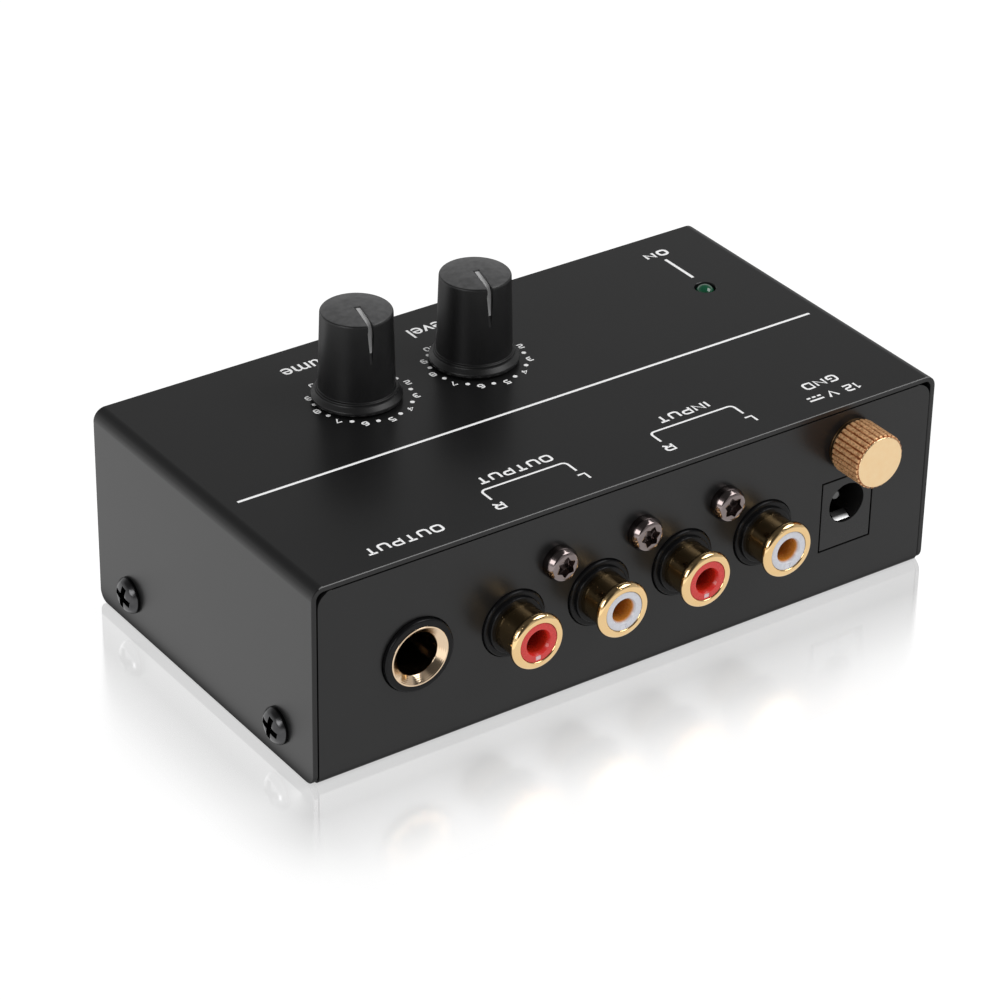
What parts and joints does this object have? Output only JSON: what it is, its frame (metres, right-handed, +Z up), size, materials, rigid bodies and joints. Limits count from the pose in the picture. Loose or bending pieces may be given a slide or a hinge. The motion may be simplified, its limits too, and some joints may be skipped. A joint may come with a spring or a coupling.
{
  "type": "phono preamp",
  "caption": "Small folded-steel box with two rotary knobs on top and phono sockets, a jack, a power inlet and a ground terminal on its rear panel.",
  "frame": {"origin": "centre of the case's flat underside", "axes": "+Z up, +Y out of the rear panel with the sockets, -Y to the user, +X along the case to the user's right"},
  "size_m": [0.1086, 0.0632, 0.0454],
  "materials": {
    "case_paint": "satin dark grey powder coat",
    "dark_screw": "dark nickel plate",
    "zinc_steel": "zinc plate",
    "black_moulding": "moulded",
    "gold_plate": "bright gold plate",
    "red_insulator": "moulded",
    "white_insulator": "moulded",
    "contact_metal": "bright plate",
    "terminal_brass": "bright plate",
    "tinned_metal": "tinned",
    "wire_sleeve": "extruded",
    "knob_plastic": "fine matte",
    "shaft_metal": "turned",
    "green_lens": "clear green",
    "board_laminate": "solder resist",
    "capacitor_sleeve": "shrink sleeve",
    "film_box": "moulded",
    "resistor_coat": "lacquer",
    "diode_body": "moulded"
  },
  "bodies": {
    "root": {"top_cover": "case_paint", "chassis": "case_paint", "cover_screws": "dark_screw", "panel_screws": "dark_screw", "board_standoffs": "zinc_steel", "board_screws": "zinc_steel", "ground_hex_nut": "zinc_steel", "volume_pot_bushing": "zinc_steel", "level_pot_bushing": "zinc_steel", "phono_housing": "black_moulding", "output_jack_housing": "black_moulding", "dc_inlet_housing": "black_moulding", "power_lamp_spacer": "black_moulding", "op_amps": "black_moulding", "voltage_regulator": "black_moulding", "volume_pot_body": "black_moulding", "level_pot_body": "black_moulding", "output_right_shell": "gold_plate", "output_left_shell": "gold_plate", "input_right_shell": "gold_plate", "input_left_shell": "gold_plate", "output_jack_bushing": "gold_plate", "output_right_insert": "red_insulator", "input_right_insert": "red_insulator", "output_left_insert": "white_insulator", "input_left_insert": "white_insulator", "output_right_contact": "contact_metal", "output_left_contact": "contact_metal", "input_right_contact": "contact_metal", "input_left_contact": "contact_metal", "output_jack_sleeve_spring": "contact_metal", "output_jack_ring_spring": "contact_metal", "output_jack_tip_spring": "contact_metal", "dc_inlet_pin": "contact_metal", "dc_inlet_spring": "contact_metal", "ground_stud": "terminal_brass", "ground_lug": "tinned_metal", "volume_pot_terminals": "tinned_metal", "level_pot_terminals": "tinned_metal", "power_lamp_leads": "tinned_metal", "op_amp_leads": "tinned_metal", "ground_wire": "wire_sleeve", "power_lamp": "green_lens", "circuit_board": "board_laminate", "electrolytic_capacitors": "capacitor_sleeve", "film_capacitors": "film_box", "resistors": "resistor_coat", "supply_diode": "diode_body"},
    "volume_control": {"volume_knob": "knob_plastic", "volume_shaft": "shaft_metal"},
    "level_control": {"level_knob": "knob_plastic", "level_shaft": "shaft_metal"},
    "ground_clamp": {"ground_washer": "terminal_brass"},
    "ground_nut": {"ground_thumb_nut": "terminal_brass"}
  },
  "joints": [
    {"name": "volume_turn", "type": "hinge", "parent": "root", "child": "volume_control", "pos_m": [0.0199, -0.0112, 0.045], "axis": [0, 0, 1], "range_deg": [-143, 157]},
    {"name": "level_turn", "type": "hinge", "parent": "root", "child": "level_control", "pos_m": [0, -0.0112, 0.045], "axis": [0, 0, 1], "range_deg": [-143, 157]},
    {"name": "ground_nut_travel", "type": "slide", "parent": "root", "child": "ground_clamp", "axis": [0, 1, 0], "range_m": [0, 0.0035]},
    {"name": "ground_nut_turn", "type": "hinge", "parent": "ground_clamp", "child": "ground_nut", "pos_m": [-0.0374, 0.0291, 0.0245], "axis": [0, 1, 0], "range_deg": [0, 1800]}
  ],
  "couplings": [
    {"joint": "ground_nut_turn", "follows": "ground_nut_travel", "rad_per_m": 8976}
  ]
}
